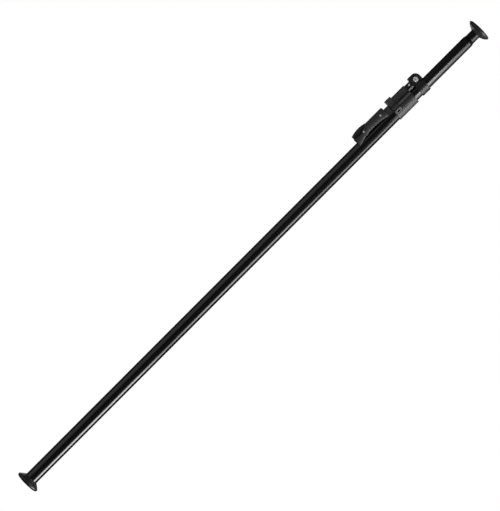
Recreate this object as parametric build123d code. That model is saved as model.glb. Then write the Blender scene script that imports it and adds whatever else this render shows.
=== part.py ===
from build123d import *
import os

# Telescoping cargo bar with a lever that drives a clamp ring along the bar.
# Millimetres. +X runs along the bar from the fixed pad's face to the moving pad,
# +Z is the side that the lever sits on, and -Y is the side with the pinch bolt's head.

os.makedirs("parts", exist_ok=True)

# ---------------------------------------------------------------- driving dimensions
BAR_LENGTH = 2100.0
OUTER_RADIUS = 22.5
INNER_RADIUS = 20.0
TUBE_WALL = 1.5
RUNNING_FIT = 0.05

OUTER_START = 18.0
OUTER_END = 1787.7
INNER_START = 1164.0
INNER_END = 2040.0
BUSH_LENGTH = 30.0
TAIL_BUSH_LENGTH = 45.0

# Rubber pads, as distances in from the pad's flat face
PAD_RADIUS = 41.5
PAD_ROUND = 5.0
PAD_GROOVE = 1.6
PAD_CORE_RADIUS = 12.0
PAD_CORE_FLOOR = 8.0
FIXED_RIM = 12.0
FIXED_BACK = 26.0
FIXED_LIP_RADIUS = 23.8
MOVING_RIM = 9.5
MOVING_BACK = 24.0
MOVING_LIP_STEP = 1.5
MOVING_POCKET_MARGIN = 2.0
MOVING_POCKET_DEPTH = 3.0
NECK_RADIUS = 17.5
NECK_SHOULDER = 10.0
PLUG_DEPTH = 32.0

# Main collar on the outer tube's mouth
COLLAR_START = 1705.7
COLLAR_END = 1789.6
COLLAR_RADIUS = 25.6
COLLAR_MOUTH_RADIUS = 20.6
COLLAR_EDGE_ROUND = 0.9
BOSS_START = 1708.2
BOSS_END = 1732.4
BOSS_TOP = 7.2
BOSS_FOOT = -9.5
BOSS_FACE = 29.6
BOSS_FOOT_FACE = 23.8
BOSS_ROUND = 0.8
BOSS_SLOT_LENGTH = 12.8
BOSS_SLOT_HEIGHT = 3.4
BOSS_SLOT_Z = -1.4

# Lever and its pivot
PIVOT_X = 1666.8
PIVOT_Z = 31.6
PIVOT_PIN_RADIUS = 3.0
CRANK_REACH = 10.0
CRANK_PIN_RADIUS = 3.0
CRANK_PIN_INSET = 1.0
LEVER_START = 1551.5
LEVER_END = 1686.8
LEVER_TOP = 48.0
CHEEK_INNER = 23.0
CHEEK_OUTER = 27.0
ARCH_START_Z = 5.8
ARCH_MIDDLE_Z = 19.1
ARCH_END_Z = 10.1
RIM_BEVEL_HEIGHT = 9.0
RIM_BEVEL_DEPTH = 3.0
LEVER_NOSE_ROUND = 4.5
LEVER_TIP_ROUND = 2.5
CHEEK_SHOULDER = 3.0
CHEEK_DIP = [(5, 8), (-3, 6), (-8, 1), (-17, 1)]
CHEEK_TIP_RISE = 6.0
ARCH_MIDDLE_OFFSET = 6.9
WEB_START = 1614.6
WEB_END = 1648.0
WEB_THICKNESS = 3.0
WEB_OVERLAP = 1.0
RIVET_HEAD_RADIUS = 3.6
RIVET_HEAD_HEIGHT = 1.3
RIVET_HEAD_ROUND = 0.8
RIVET_HEAD_STANDOFF = 0.2
RIVET_INNER_GAP = 2.0

# Thumb catch in the lever's free end, and the keeper under it
CATCH_X = 1591.1
CATCH_Z = 32.2
CATCH_PIN_RADIUS = 2.5
CATCH_HALF_WIDTH = 22.6
CATCH_NOSE_HALF_WIDTH = 5.0
CATCH_CREST = 53.0
CATCH_EDGE_ROUND = 2.0
CATCH_SIDE_ROUND = 1.5
CATCH_GAP = 1.4
CATCH_TIP_Z = 47.1
CATCH_HEEL_Z = 48.7
CATCH_CREST_OFFSET = -5.0
CATCH_UNDERSIDE = [(8, -3), (3, -6.5), (-4, -6.5), (-8, -1)]
CATCH_TIP_UNDERSIDE = 3.5
CATCH_HEEL_UNDERSIDE = 11.0
CATCH_NOSE = [(-3.5, -5), (-5.8, -7.2), (-5.8, -8.9), (1, -8.9), (2, -5)]
KEEPER_HALF_WIDTH = 7.0
KEEPER_START = CATCH_X - 18.3
KEEPER_THROAT = CATCH_X - 14.3
KEEPER_LIP_END = CATCH_X - 6.9
KEEPER_FOOT_END = CATCH_X - 6.3
KEEPER_ROOT = 20.0
KEEPER_FOOT_TOP = 22.8
KEEPER_LIP_UNDERSIDE = 25.9
KEEPER_TOP = 27.7

# Saddle bracket
BRACKET_START = 1649.0
BRACKET_END = 1704.3
BRACKET_TOP = 37.4
BRACKET_HALF_WIDTH = 22.4
BRACKET_SIDE_Z = 20.0
NECK_SIDE_Z = 9.0
BRACKET_NECK_GAP = 2.0
BRACKET_EDGE_ROUND = 2.5

# Push bar and the channel that it runs in
BAR_BOTTOM = 26.0
BAR_TOP = 36.6
BAR_HALF_WIDTH = 6.0
BAR_GAP = 0.6
FORK_TOP = 47.0
FORK_SLOT = 7.0
FORK_PRONG = 4.0
NOTCH_PITCH = 6.0
NOTCH_DEPTH = 1.2
NOTCH_START = 1745.5
NOTCH_COUNT = 6
NOTCH_OVERCUT = 0.1
HEAD_START = 1790.7
HEAD_END = 1810.0
HEAD_TOP = 42.0
TONGUE_END = 1843.0
TONGUE_HALF_WIDTH = 1.9
TONGUE_LIFT = 0.5

# Housing on the collar
HOUSING_START = 1732.9
HOUSING_END = 1788.7
HOUSING_TOP = 47.1
HOUSING_FOOT = 22.4
HOUSING_HALF_WIDTH = 21.0
HOUSING_WALL = 4.0
HOUSING_ROOF = 3.0
HOUSING_ROUND = 4.0
END_ROUND = 1.2
SIDE_SLOT_START = 1747.0
SIDE_SLOT_END = 1785.8
SIDE_SLOT_HEIGHT = 1.6
SIDE_SLOT_DEPTH = 2.0
RAIL_TOP = 22.4
RAIL_BOTTOM = 11.8
RAIL_FACE = 25.5
RAIL_SHOULDER = 3.6
RAIL_SLOPE = 0.7
RAIL_BEVEL = 0.9
RAIL_ROOT = 15.0
RAIL_INNER_GAP = 2.0
RAIL_STEP = 0.5

# Release slide between the neck and the housing
SLIDE_START = 1708.4
SLIDE_END = 1732.0
SLIDE_TOP = 53.4
SLIDE_BOTTOM = 8.0
SLIDE_FACE = 27.0
SLIDE_TONGUE_END = 1760.5
SLIDE_TONGUE_OVERLAP = 1.0
SLIDE_TONGUE_GAP = 1.6
SLIDE_NOSE_OFFSET = 9.0
SLIDE_NOSE_RUN = 3.0
SLIDE_SHOULDER = 4.0
SLIDE_ROUNDS_FROM = 1.0
SADDLE_GAP = 0.35

# Clamp ring, link block and pinch bolt
RING_START = 1813.9
RING_END = 1846.9
RING_RADIUS = 23.7
LUG_START = 1812.9
LUG_TOP = 53.3
LUG_BOTTOM = 18.5
LUG_CORNER = 3.0
LUG_EDGE_ROUND = 1.2
RING_EDGE_ROUND = 0.8
LUG_HALF_WIDTH = 14.0
SPLIT_HALF_WIDTH = 2.0
BOLT_X = 1832.3
BOLT_Z = 33.9
BOLT_RADIUS = 4.0
BOLT_HEAD_RADIUS = 8.6
BOLT_HEAD_HEIGHT = 5.0
BOLT_END = 24.0
WASHER_THICKNESS = 1.6
WASHER_RADIUS = 8.0
NUT_RADIUS = 7.5
NUT_THICKNESS = 6.5
SOCKET_RADIUS = 2.6
SOCKET_DEPTH = 2.8
BOLT_EDGE_ROUND = 1.6
HEX_SIDES = 6
LINK_START = 1790.0
LINK_END = 1812.6
LINK_TOP = 43.7
LINK_BOTTOM = 20.6
LINK_HALF_WIDTH = 14.5
LEDGE_REACH = 3.5
LEDGE_TOP = 27.0
LEDGE_CREST = 25.4
LEDGE_BOTTOM = 19.6
LEDGE_BEVEL = 1.0
LEDGE_ROOT = 2.0
LEDGE_SHORTFALL = 2.0
LINK_SCREW_X = 1804.0
LINK_SCREW_Z = 35.4
LINK_SCREW_RADIUS = 2.5
LINK_SCREW_HEAD_RADIUS = 3.8
LINK_SCREW_END = 10.0
LINK_RECESS_RADIUS = 7.0
LINK_RECESS_DEPTH = 3.0
LINK_SCREW_SINK = 0.3
LINK_EDGE_ROUND = 2.0


# ---------------------------------------------------------------- shape helpers
def save(solid, node):
    """Write one piece under its node name."""
    export_step(solid, f"parts/{node}.step")


def outline(points):
    """A closed flat outline through straight-sided points."""
    return make_face(Polyline(*points, close=True))


def plate(face, y_low, y_high):
    """Carry a side outline (x, z) to y_high and thicken it down to y_low."""
    return extrude(Plane.XZ.offset(-y_high) * face, y_high - y_low)


def bar(face, x_low, x_high):
    """Carry a cross-section (y, z) to x_low and run it along the bar to x_high."""
    return extrude(Plane.YZ.offset(x_low) * face, x_high - x_low)


def tube(x_low, x_high, outer, inner=0.0):
    """A round bar or tube about the bar's axis."""
    section = Circle(outer)
    if inner:
        section -= Circle(inner)
    return bar(section, x_low, x_high)


def rod(x, z, y_low, y_high, radius):
    """A round pin along Y."""
    return plate(Pos(x, z) * Circle(radius), y_low, y_high)


def block(x_low, x_high, half_width, z_low, z_high):
    """A rectangular block, centred on the bar's middle plane."""
    centre = Pos((x_low + x_high) / 2, 0, (z_low + z_high) / 2)
    return centre * Box(x_high - x_low, 2 * half_width, z_high - z_low)


def both_sides(solid):
    """A piece together with its mirror image across the middle plane."""
    return solid + mirror(solid, Plane.XZ)


# ---------------------------------------------------------------- tubes and bushes
def outer_tube():
    """The larger tube."""
    return tube(OUTER_START, OUTER_END, OUTER_RADIUS, OUTER_RADIUS - TUBE_WALL)


def inner_tube():
    """The smaller tube, which telescopes in the larger one."""
    return tube(INNER_START, INNER_END, INNER_RADIUS, INNER_RADIUS - TUBE_WALL)


def guide_bush():
    """Thin sleeve held in the mouth of the larger tube."""
    bore = OUTER_RADIUS - TUBE_WALL
    return tube(OUTER_END - BUSH_LENGTH, OUTER_END, bore, INNER_RADIUS + RUNNING_FIT)


def tail_bush():
    """Thin sleeve carried on the hidden end of the smaller tube."""
    bore = OUTER_RADIUS - TUBE_WALL
    return tube(INNER_START, INNER_START + TAIL_BUSH_LENGTH, bore - RUNNING_FIT, INNER_RADIUS)


# ---------------------------------------------------------------- pads
def pad(rim, back, back_radius, pocket_radius, pocket_floor):
    """A mushroom pad whose flat face is at x = 0 and whose flare runs towards +X."""
    corner = PAD_RADIUS - PAD_ROUND
    middle = PAD_ROUND * (1 - 0.5 ** 0.5)
    face_line = Line((0, 0), (0, corner))
    edge_round = ThreePointArc((0, corner), (middle, PAD_RADIUS - middle), (PAD_ROUND, PAD_RADIUS))
    rest = Polyline(
        (PAD_ROUND, PAD_RADIUS),
        (rim, PAD_RADIUS),
        (rim + PAD_GROOVE / 2, PAD_RADIUS - PAD_GROOVE),
        (back, back_radius),
        (back, pocket_radius),
        (pocket_floor, pocket_radius),
        (pocket_floor, PAD_CORE_RADIUS),
        (PAD_CORE_FLOOR, PAD_CORE_RADIUS),
        (PAD_CORE_FLOOR, 0),
        (0, 0),
    )
    profile = make_face(face_line + edge_round + rest)
    return revolve(Plane.XZ * profile, Axis.X, 360)


def fixed_pad():
    """Pad on the larger tube; its pocket takes the tube's end."""
    return pad(FIXED_RIM, FIXED_BACK, FIXED_LIP_RADIUS, OUTER_RADIUS, OUTER_START)


def moving_pad():
    """Pad on the smaller tube's neck, facing the other way."""
    lip = NECK_RADIUS + MOVING_LIP_STEP
    pocket_radius = PAD_CORE_RADIUS + MOVING_POCKET_MARGIN
    pocket_floor = MOVING_BACK - MOVING_POCKET_DEPTH
    turned = pad(MOVING_RIM, MOVING_BACK, lip, pocket_radius, pocket_floor)
    return Pos(BAR_LENGTH, 0, 0) * mirror(turned, Plane.YZ)


def fixed_plug():
    """Plug in the larger tube's end, with a stub that the pad is pushed onto."""
    bore = OUTER_RADIUS - TUBE_WALL
    body = tube(OUTER_START, OUTER_START + PLUG_DEPTH, bore)
    return body + tube(PAD_CORE_FLOOR, OUTER_START, PAD_CORE_RADIUS)


def end_neck():
    """Turned neck: a plug in the smaller tube, a sloped shoulder and a stub for the pad."""
    shoulder_end = INNER_END + NECK_SHOULDER
    neck_end = BAR_LENGTH - MOVING_BACK
    profile = outline([
        (INNER_END - PLUG_DEPTH, 0),
        (INNER_END - PLUG_DEPTH, INNER_RADIUS - TUBE_WALL),
        (INNER_END, INNER_RADIUS - TUBE_WALL),
        (INNER_END, INNER_RADIUS),
        (shoulder_end, NECK_RADIUS),
        (neck_end, NECK_RADIUS),
        (neck_end, PAD_CORE_RADIUS),
        (BAR_LENGTH - PAD_CORE_FLOOR, PAD_CORE_RADIUS),
        (BAR_LENGTH - PAD_CORE_FLOOR, 0),
    ])
    return revolve(Plane.XZ * profile, Axis.X, 360)


# ---------------------------------------------------------------- collar, housing and bracket
def main_collar():
    """Sleeve on the tube's mouth, with an end lip and a sloping slotted boss on each side."""
    sleeve = tube(COLLAR_START, COLLAR_END, COLLAR_RADIUS)
    sleeve = fillet(sleeve.edges().filter_by(GeomType.CIRCLE), COLLAR_EDGE_ROUND)
    boss = bar(outline([
        (BOSS_FACE, BOSS_TOP),
        (BOSS_FOOT_FACE, BOSS_FOOT),
        (-BOSS_FOOT_FACE, BOSS_FOOT),
        (-BOSS_FACE, BOSS_TOP),
    ]), BOSS_START, BOSS_END)
    boss = fillet(boss.edges().filter_by(Axis.X), BOSS_ROUND)
    sleeve += boss
    sleeve -= tube(COLLAR_START, OUTER_END, OUTER_RADIUS)
    sleeve -= tube(OUTER_END, COLLAR_END, COLLAR_MOUTH_RADIUS)
    slot_face = Pos((BOSS_START + BOSS_END) / 2, BOSS_SLOT_Z) * SlotOverall(
        BOSS_SLOT_LENGTH, BOSS_SLOT_HEIGHT
    )
    slot = plate(slot_face, 0, BOSS_FACE)
    return sleeve - both_sides(slot)


def upper_end_edges(solid, z_low):
    """The edges of a prism's two end faces that lie above z_low."""
    groups = solid.edges().group_by(Axis.X)
    return [edge for edge in groups[0] + groups[-1] if edge.center().Z > z_low]


def housing_cover():
    """Raised block over the push bar, open towards the release slide."""
    width = 2 * HOUSING_HALF_WIDTH
    height = HOUSING_TOP - HOUSING_FOOT
    middle = (HOUSING_TOP + HOUSING_FOOT) / 2
    shell = bar(Pos(0, middle) * Rectangle(width, height), HOUSING_START, HOUSING_END)
    top_edges = shell.edges().filter_by(Axis.X).group_by(Axis.Z)[-1]
    shell = fillet(top_edges, HOUSING_ROUND)
    shell = fillet(upper_end_edges(shell, HOUSING_FOOT + 1), END_ROUND)
    shell -= block(
        HOUSING_START,
        HOUSING_END - HOUSING_WALL,
        HOUSING_HALF_WIDTH - HOUSING_WALL,
        HOUSING_FOOT,
        HOUSING_TOP - HOUSING_ROOF,
    )
    shell -= block(
        HOUSING_START, HOUSING_END, BAR_HALF_WIDTH + BAR_GAP, HOUSING_FOOT, BAR_TOP + BAR_GAP
    )
    slot_face = outline([
        (SIDE_SLOT_START, HOUSING_FOOT),
        (SIDE_SLOT_END, HOUSING_FOOT),
        (SIDE_SLOT_END, HOUSING_FOOT + SIDE_SLOT_HEIGHT),
        (SIDE_SLOT_START, HOUSING_FOOT + SIDE_SLOT_HEIGHT),
    ])
    slot = plate(slot_face, HOUSING_HALF_WIDTH - SIDE_SLOT_DEPTH, HOUSING_HALF_WIDTH)
    shell -= both_sides(slot)
    return shell - tube(HOUSING_START, HOUSING_END, COLLAR_RADIUS + RUNNING_FIT)


def housing_rail():
    """Side rail between the collar and the block, on the +Y side."""
    section = outline([
        (BAR_HALF_WIDTH + RAIL_INNER_GAP, RAIL_TOP),
        (HOUSING_HALF_WIDTH + RAIL_STEP, RAIL_TOP),
        (RAIL_FACE, RAIL_TOP - RAIL_SHOULDER),
        (RAIL_FACE - RAIL_SLOPE, RAIL_BOTTOM + RAIL_BEVEL),
        (RAIL_FACE - RAIL_SLOPE - RAIL_BEVEL, RAIL_BOTTOM),
        (RAIL_ROOT, RAIL_BOTTOM),
    ])
    return bar(section, HOUSING_START, HOUSING_END) - tube(
        HOUSING_START, HOUSING_END, COLLAR_RADIUS
    )


def lever_bracket():
    """Saddle bracket: pivot ears beside the push bar, and the neck beyond them."""
    ears_end = LEVER_END + BRACKET_NECK_GAP
    body = block(BRACKET_START, ears_end, BRACKET_HALF_WIDTH, BRACKET_SIDE_Z, BRACKET_TOP)
    body += block(ears_end, BRACKET_END, BRACKET_HALF_WIDTH, NECK_SIDE_Z, BRACKET_TOP)
    top_edges = body.edges().filter_by(Axis.X).group_by(Axis.Z)[-1]
    body = fillet(top_edges, BRACKET_EDGE_ROUND)
    body -= tube(BRACKET_START, BRACKET_END, OUTER_RADIUS)
    body -= block(
        BRACKET_START, BRACKET_END, BAR_HALF_WIDTH + BAR_GAP, BAR_BOTTOM - BAR_GAP, BRACKET_TOP
    )
    bore = rod(PIVOT_X, PIVOT_Z, BAR_HALF_WIDTH, BRACKET_HALF_WIDTH, PIVOT_PIN_RADIUS)
    return body - both_sides(bore)


def headed_end(x, z, face):
    """A low round rivet head standing on a cheek's outer face, on the +Y side."""
    head = rod(x, z, face, face + RIVET_HEAD_HEIGHT, RIVET_HEAD_RADIUS)
    rim = head.edges().filter_by(GeomType.CIRCLE).sort_by(Axis.Y)[-1]
    return fillet(rim, RIVET_HEAD_ROUND)


def lever_rivets():
    """The two shoulder rivets that the lever turns on."""
    head_face = CHEEK_OUTER + RIVET_HEAD_STANDOFF
    shank_start = BAR_HALF_WIDTH + RIVET_INNER_GAP
    shank = rod(PIVOT_X, PIVOT_Z, shank_start, head_face, PIVOT_PIN_RADIUS)
    return both_sides(shank + headed_end(PIVOT_X, PIVOT_Z, head_face))


def catch_keeper():
    """Hooked keeper on the larger tube, under the lever's free end."""
    profile = outline([
        (KEEPER_START, KEEPER_ROOT),
        (KEEPER_START, KEEPER_TOP),
        (KEEPER_LIP_END, KEEPER_TOP),
        (KEEPER_LIP_END, KEEPER_LIP_UNDERSIDE),
        (KEEPER_THROAT, KEEPER_LIP_UNDERSIDE),
        (KEEPER_THROAT, KEEPER_FOOT_TOP),
        (KEEPER_FOOT_END, KEEPER_FOOT_TOP),
        (KEEPER_FOOT_END, KEEPER_ROOT),
    ])
    keeper = plate(profile, -KEEPER_HALF_WIDTH, KEEPER_HALF_WIDTH)
    return keeper - tube(KEEPER_START, KEEPER_FOOT_END, OUTER_RADIUS)


# ---------------------------------------------------------------- lever and thumb catch
def arch(lift=0.0):
    """The curve of the lever's lower edge, raised by lift."""
    middle_x = (LEVER_START + LEVER_END) / 2 + ARCH_MIDDLE_OFFSET
    return ThreePointArc(
        (LEVER_START, ARCH_START_Z + lift),
        (middle_x, ARCH_MIDDLE_Z + lift),
        (LEVER_END, ARCH_END_Z + lift),
    )


def sharp_cheek_face():
    """Side outline of one cheek, with a dip in its upper edge beside the thumb catch."""
    upper_edge = Polyline(
        (LEVER_END, ARCH_END_Z),
        (LEVER_END, LEVER_TOP),
        (WEB_START - CHEEK_SHOULDER, LEVER_TOP),
        *[(CATCH_X + x, CATCH_Z + z) for x, z in CHEEK_DIP],
        (LEVER_START, CATCH_Z + CHEEK_TIP_RISE),
        (LEVER_START, ARCH_START_Z),
    )
    return make_face(arch() + upper_edge)


def cheek_face():
    """The cheek's side outline with its nose and tip corners rounded."""
    face = sharp_cheek_face()
    nose_corners = face.vertices().group_by(Axis.X)[-1]
    face = fillet(nose_corners, LEVER_NOSE_ROUND)
    tip_corner = face.vertices().group_by(Axis.X)[0].sort_by(Axis.Y)[0]
    return fillet(tip_corner, LEVER_TIP_ROUND)


def lever_handle():
    """Two cheeks, bevelled along their arched lower edge, joined by a web."""
    cheek = plate(sharp_cheek_face(), CHEEK_INNER, CHEEK_OUTER)
    outer_face = cheek.faces().sort_by(Axis.Y)[-1]
    arch_edge = outer_face.edges().filter_by(GeomType.CIRCLE).sort_by(SortBy.LENGTH)[-1]
    cheek = chamfer(arch_edge, RIM_BEVEL_HEIGHT, RIM_BEVEL_DEPTH, reference=outer_face)
    handle = both_sides(cheek & plate(cheek_face(), CHEEK_INNER, CHEEK_OUTER))
    web_half = CHEEK_INNER + WEB_OVERLAP
    handle += block(WEB_START, WEB_END, web_half, LEVER_TOP - WEB_THICKNESS, LEVER_TOP)
    handle -= rod(PIVOT_X, PIVOT_Z, -CHEEK_OUTER, CHEEK_OUTER, PIVOT_PIN_RADIUS + RUNNING_FIT)
    handle -= rod(CATCH_X, CATCH_Z, -CHEEK_OUTER, CHEEK_OUTER, CATCH_PIN_RADIUS)
    crank_end = CHEEK_OUTER - CRANK_PIN_INSET
    handle -= rod(crank_x(), crank_z(), -crank_end, crank_end, CRANK_PIN_RADIUS)
    return handle


def crank_x():
    """Where the crank pin stands along the bar with the lever closed."""
    return PIVOT_X - CRANK_REACH


def crank_z():
    """How high the crank pin stands with the lever closed."""
    return PIVOT_Z + CRANK_REACH


def crank_pin():
    """Cross pin between the cheeks that drives the push bar's fork."""
    end = CHEEK_OUTER - CRANK_PIN_INSET
    return rod(crank_x(), crank_z(), -end, end, CRANK_PIN_RADIUS)


def catch_pin():
    """Pin through both cheeks with a rivet head on each."""
    shank = rod(CATCH_X, CATCH_Z, -CHEEK_OUTER, CHEEK_OUTER, CATCH_PIN_RADIUS)
    return shank + both_sides(headed_end(CATCH_X, CATCH_Z, CHEEK_OUTER))


def thumb_catch():
    """Bulged thumb catch between the cheeks, with a nose that reaches for the keeper."""
    left = LEVER_START + CATCH_GAP
    right = WEB_START - CATCH_GAP
    crest = ThreePointArc(
        (left, CATCH_TIP_Z), (CATCH_X + CATCH_CREST_OFFSET, CATCH_CREST), (right, CATCH_HEEL_Z)
    )
    under = Polyline(
        (right, CATCH_HEEL_Z),
        (right, CATCH_Z + CATCH_HEEL_UNDERSIDE),
        *[(CATCH_X + x, CATCH_Z + z) for x, z in CATCH_UNDERSIDE],
        (left, CATCH_Z + CATCH_TIP_UNDERSIDE),
        (left, CATCH_TIP_Z),
    )
    face = make_face(crest + under)
    tip_corner = face.vertices().group_by(Axis.X)[0].sort_by(Axis.Y)[-1]
    face = fillet(tip_corner, CATCH_EDGE_ROUND)
    body = plate(face, -CATCH_HALF_WIDTH, CATCH_HALF_WIDTH)
    body = fillet(body.edges().filter_by(GeomType.CIRCLE), CATCH_SIDE_ROUND)
    nose = outline([(CATCH_X + x, CATCH_Z + z) for x, z in CATCH_NOSE])
    body += plate(nose, -CATCH_NOSE_HALF_WIDTH, CATCH_NOSE_HALF_WIDTH)
    bore = rod(
        CATCH_X, CATCH_Z, -CATCH_HALF_WIDTH, CATCH_HALF_WIDTH, CATCH_PIN_RADIUS + RUNNING_FIT
    )
    return body - bore


# ---------------------------------------------------------------- release slide
def release_slide():
    """Tall saddle-shaped thumb slide, with a tongue that runs into the housing."""
    half_section = [
        (SLIDE_FACE, SLIDE_BOTTOM),
        (SLIDE_FACE, RAIL_TOP - RAIL_SHOULDER),
        (HOUSING_HALF_WIDTH, HOUSING_FOOT + SLIDE_SHOULDER),
        (HOUSING_HALF_WIDTH, SLIDE_TOP),
    ]
    mirrored = [(-y, z) for y, z in reversed(half_section)]
    body = bar(outline(half_section + mirrored), SLIDE_START, SLIDE_END)
    top_edges = body.edges().filter_by(Axis.X).group_by(Axis.Z)[-1]
    body = fillet(top_edges, HOUSING_ROUND)
    body = fillet(upper_end_edges(body, HOUSING_FOOT + SLIDE_ROUNDS_FROM), END_ROUND)
    body -= tube(SLIDE_START, SLIDE_END, COLLAR_RADIUS + SADDLE_GAP)
    body -= block(
        SLIDE_START, SLIDE_END, BAR_HALF_WIDTH + BAR_GAP, SLIDE_BOTTOM, BAR_TOP + BAR_GAP
    )
    tongue_half = HOUSING_HALF_WIDTH - HOUSING_WALL - BAR_GAP
    roof = HOUSING_TOP - HOUSING_ROOF - BAR_GAP
    underside = BAR_TOP + SLIDE_TONGUE_GAP
    tongue_start = SLIDE_END - SLIDE_TONGUE_OVERLAP
    tongue = block(tongue_start, SLIDE_TONGUE_END, tongue_half, underside, roof)
    nose_x = SLIDE_TONGUE_END - SLIDE_NOSE_OFFSET
    nose = outline([
        (nose_x - SLIDE_NOSE_RUN, underside),
        (nose_x, BAR_TOP + BAR_GAP),
        (nose_x + SLIDE_NOSE_RUN, underside),
    ])
    return body + tongue + plate(nose, -BAR_HALF_WIDTH, BAR_HALF_WIDTH)


# ---------------------------------------------------------------- carriage
def push_bar():
    """Bar with a crank fork at one end and a clamp tongue at the other."""
    slot_low = crank_x() - FORK_SLOT / 2
    slot_high = crank_x() + FORK_SLOT / 2
    rail = block(slot_low - FORK_PRONG, HEAD_START, BAR_HALF_WIDTH, BAR_BOTTOM, BAR_TOP)
    rail += block(slot_low - FORK_PRONG, slot_low, BAR_HALF_WIDTH, BAR_TOP, FORK_TOP)
    rail += block(slot_high, slot_high + FORK_PRONG, BAR_HALF_WIDTH, BAR_TOP, FORK_TOP)
    rail += block(HEAD_START, HEAD_END, BAR_HALF_WIDTH, BAR_BOTTOM, HEAD_TOP)
    rail += block(HEAD_END, TONGUE_END, TONGUE_HALF_WIDTH, BAR_BOTTOM + TONGUE_LIFT, HEAD_TOP)
    for index in range(NOTCH_COUNT):
        x = NOTCH_START + index * NOTCH_PITCH
        notch = outline([
            (x, BAR_TOP + NOTCH_OVERCUT),
            (x + NOTCH_PITCH / 2, BAR_TOP - NOTCH_DEPTH),
            (x + NOTCH_PITCH / 2, BAR_TOP + NOTCH_OVERCUT),
        ])
        rail -= plate(notch, -BAR_HALF_WIDTH, BAR_HALF_WIDTH)
    rail -= rod(BOLT_X, BOLT_Z, -SPLIT_HALF_WIDTH, SPLIT_HALF_WIDTH, BOLT_RADIUS)
    return rail - rod(
        LINK_SCREW_X, LINK_SCREW_Z, -BAR_HALF_WIDTH, BAR_HALF_WIDTH, LINK_SCREW_RADIUS
    )


def link_block():
    """Narrow block around the push bar's head, with a small ledge at its foot."""
    body = block(LINK_START, LINK_END, LINK_HALF_WIDTH, LINK_BOTTOM, LINK_TOP)
    top_edges = body.edges().filter_by(Axis.X).group_by(Axis.Z)[-1]
    body = fillet(top_edges, LINK_EDGE_ROUND)
    ledge = bar(outline([
        (LINK_HALF_WIDTH - LEDGE_ROOT, LEDGE_BOTTOM),
        (LINK_HALF_WIDTH + LEDGE_BEVEL, LEDGE_BOTTOM),
        (LINK_HALF_WIDTH + LEDGE_REACH, LEDGE_CREST),
        (LINK_HALF_WIDTH + LEDGE_REACH - LEDGE_BEVEL, LEDGE_TOP),
        (LINK_HALF_WIDTH - LEDGE_ROOT, LEDGE_TOP),
    ]), LINK_START, LINK_END - LEDGE_SHORTFALL)
    body += both_sides(ledge)
    body -= block(LINK_START, LINK_END, BAR_HALF_WIDTH, BAR_BOTTOM, HEAD_TOP)
    recess_floor = -LINK_HALF_WIDTH + LINK_RECESS_DEPTH
    body -= rod(LINK_SCREW_X, LINK_SCREW_Z, -LINK_HALF_WIDTH, recess_floor, LINK_RECESS_RADIUS)
    return body - rod(
        LINK_SCREW_X, LINK_SCREW_Z, recess_floor, LINK_SCREW_END, LINK_SCREW_RADIUS
    )


def link_screw():
    """Small cap screw through the link block and the push bar's head."""
    recess_floor = -LINK_HALF_WIDTH + LINK_RECESS_DEPTH
    head_top = -LINK_HALF_WIDTH + LINK_SCREW_SINK
    head = rod(LINK_SCREW_X, LINK_SCREW_Z, head_top, recess_floor, LINK_SCREW_HEAD_RADIUS)
    shank = rod(LINK_SCREW_X, LINK_SCREW_Z, recess_floor, LINK_SCREW_END, LINK_SCREW_RADIUS)
    return head + shank


def lug_face():
    """Side outline of the lug: a square corner and one rounded about the bolt."""
    lug_round = LUG_TOP - BOLT_Z
    lug_end = BOLT_X + lug_round
    corner = lug_round * 0.5 ** 0.5
    straight = Polyline(
        (lug_end, BOLT_Z),
        (lug_end, LUG_BOTTOM),
        (LUG_START, LUG_BOTTOM),
        (LUG_START, LUG_TOP),
        (BOLT_X, LUG_TOP),
    )
    around = ThreePointArc((BOLT_X, LUG_TOP), (BOLT_X + corner, BOLT_Z + corner), (lug_end, BOLT_Z))
    face = make_face(straight + around)
    return fillet(face.vertices().group_by(Axis.X)[0].sort_by(Axis.Y)[-1], LUG_CORNER)


def clamp_ring():
    """Split ring around the smaller tube, with two ears that the pinch bolt draws together."""
    ring = tube(RING_START, RING_END, RING_RADIUS)
    ring = fillet(ring.edges().filter_by(GeomType.CIRCLE), RING_EDGE_ROUND)
    lug = plate(lug_face(), -LUG_HALF_WIDTH, LUG_HALF_WIDTH)
    side_edges = lug.edges().group_by(Axis.Y)
    lug = fillet(side_edges[0] + side_edges[-1], LUG_EDGE_ROUND)
    ring += lug
    far_end = BOLT_X + LUG_TOP - BOLT_Z
    ring -= tube(LUG_START, far_end, INNER_RADIUS + RUNNING_FIT)
    ring -= block(LUG_START, far_end, SPLIT_HALF_WIDTH, 0, LUG_TOP)
    return ring - rod(BOLT_X, BOLT_Z, -LUG_HALF_WIDTH, LUG_HALF_WIDTH, BOLT_RADIUS)


def pinch_bolt():
    """Large round-headed bolt with a small socket in its head."""
    head_top = -LUG_HALF_WIDTH - BOLT_HEAD_HEIGHT
    head = rod(BOLT_X, BOLT_Z, head_top, -LUG_HALF_WIDTH, BOLT_HEAD_RADIUS)
    head = fillet(head.edges().filter_by(GeomType.CIRCLE).sort_by(Axis.Y)[0], BOLT_EDGE_ROUND)
    socket_face = Pos(BOLT_X, BOLT_Z) * RegularPolygon(SOCKET_RADIUS, HEX_SIDES)
    socket = plate(socket_face, head_top, head_top + SOCKET_DEPTH)
    return head - socket + rod(BOLT_X, BOLT_Z, -LUG_HALF_WIDTH, BOLT_END, BOLT_RADIUS)


def pinch_washer():
    """Flat washer under the nut."""
    face = LUG_HALF_WIDTH
    washer = rod(BOLT_X, BOLT_Z, face, face + WASHER_THICKNESS, WASHER_RADIUS)
    return washer - rod(BOLT_X, BOLT_Z, face, face + WASHER_THICKNESS, BOLT_RADIUS)


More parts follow.
